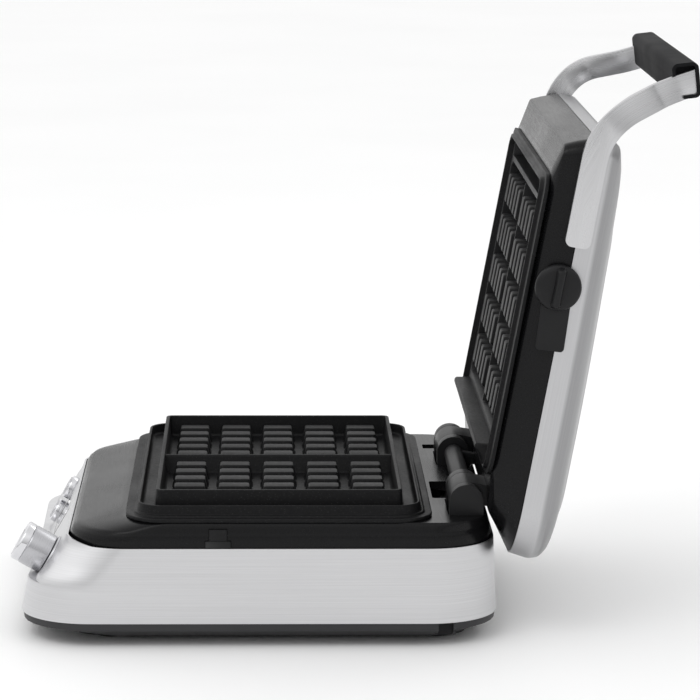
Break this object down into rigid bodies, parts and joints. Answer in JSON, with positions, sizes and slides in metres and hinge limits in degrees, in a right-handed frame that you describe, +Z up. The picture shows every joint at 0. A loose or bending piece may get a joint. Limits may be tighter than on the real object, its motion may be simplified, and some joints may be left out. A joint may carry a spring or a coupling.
{
  "type": "waffle maker",
  "caption": "Waffle maker open on its rear hinge, with a brushed steel base and lid, black studded plates, a sloping control panel and a bar handle on bent aluminium arms.",
  "frame": {"origin": "middle of the base's footprint, on the table", "axes": "+X across the machine along the hinge, +Y from the control panel to the hinge, +Z up"},
  "size_m": [0.3875, 0.5438, 0.4576],
  "materials": {
    "steel": "fine horizontal brushing",
    "gloss_black": "moulded, glossy",
    "tray_plastic": "fine grain",
    "nonstick": "die cast, with a dark satin non-stick coat and fine speckle",
    "dark_plastic": "fine grain",
    "aluminium": "brushed along its length",
    "knob_metal": "satin turned",
    "chrome": "polished",
    "glass_black": "polished window",
    "rubber": "matte",
    "sheet_metal": "plain sheet",
    "heater_sheath": "heat-darkened sheath",
    "brass": "plain",
    "screw_steel": "zinc plated",
    "board": "lacquered circuit board",
    "ceramic": "unglazed ceramic"
  },
  "bodies": {
    "base": {"base_tray": "tray_plastic", "rubber_feet": "rubber", "base_steel_band": "steel", "base_top_housing": "gloss_black", "tray_screws": "screw_steel", "cross_plate": "sheet_metal", "lower_plate": "nonstick", "lower_heater": "heater_sheath", "lower_reflector": "sheet_metal", "lower_thermostat": "brass", "control_board": "board", "display_window": "glass_black", "display_module": "dark_plastic", "knob_encoder": "dark_plastic", "knob_bezel": "knob_metal", "button_bezels": "chrome", "button_switches": "dark_plastic", "power_board": "board", "terminal_block": "ceramic", "cord_gland": "rubber", "hinge_brackets": "dark_plastic", "hinge_pins": "screw_steel", "hinge_screws": "screw_steel"},
    "knob": {"selector_knob": "knob_metal", "knob_ring": "chrome", "knob_shaft": "screw_steel"},
    "start_button": {"button_upper": "knob_metal"},
    "mode_button": {"button_lower": "knob_metal"},
    "base_catch": {"base_release_button": "dark_plastic", "base_release_stem": "screw_steel"},
    "drip_drawer": {"drip_tray": "dark_plastic"},
    "lid": {"lid_frame": "gloss_black", "lid_cover": "steel", "lid_screws": "screw_steel", "lid_hinge_arms": "dark_plastic", "hinge_barrel": "dark_plastic", "upper_plate": "nonstick", "upper_heater": "heater_sheath", "upper_reflector": "sheet_metal", "upper_thermostat": "brass", "handle_arms": "aluminium", "handle_grip": "dark_plastic", "handle_bolts": "screw_steel", "dial_plate": "dark_plastic"},
    "dial": {"height_dial": "dark_plastic", "dial_spindle": "screw_steel"},
    "lid_catch": {"lid_release_button": "dark_plastic", "lid_release_stem": "screw_steel"}
  },
  "joints": [
    {"name": "lid_hinge", "type": "hinge", "parent": "base", "child": "lid", "pos_m": [0, 0.164, 0.109], "axis": [1, 0, 0], "range_deg": [0, 100.4]},
    {"name": "knob_turn", "type": "hinge", "parent": "base", "child": "knob", "pos_m": [0.112, -0.16805, 0.05645], "axis": [0, -0.866, 0.5], "range_deg": [-135, 135]},
    {"name": "upper_button_press", "type": "slide", "parent": "base", "child": "start_button", "axis": [0, 0.866, -0.5], "range_m": [0, 0.002], "stiffness_N_per_m": 400},
    {"name": "lower_button_press", "type": "slide", "parent": "base", "child": "mode_button", "axis": [0, 0.866, -0.5], "range_m": [0, 0.002], "stiffness_N_per_m": 400},
    {"name": "base_catch_press", "type": "slide", "parent": "base", "child": "base_catch", "axis": [-1, 0, 0], "range_m": [0, 0.003], "stiffness_N_per_m": 400},
    {"name": "drip_tray_slide", "type": "slide", "parent": "base", "child": "drip_drawer", "axis": [0, 1, 0], "range_m": [0, 0.08]},
    {"name": "dial_turn", "type": "hinge", "parent": "lid", "child": "dial", "pos_m": [0.189, 0.23059, 0.2868], "axis": [1, 0, 0], "range_deg": [0, 90]},
    {"name": "lid_catch_press", "type": "slide", "parent": "lid", "child": "lid_catch", "axis": [1, 0, 0], "range_m": [0, 0.003], "stiffness_N_per_m": 400}
  ]
}
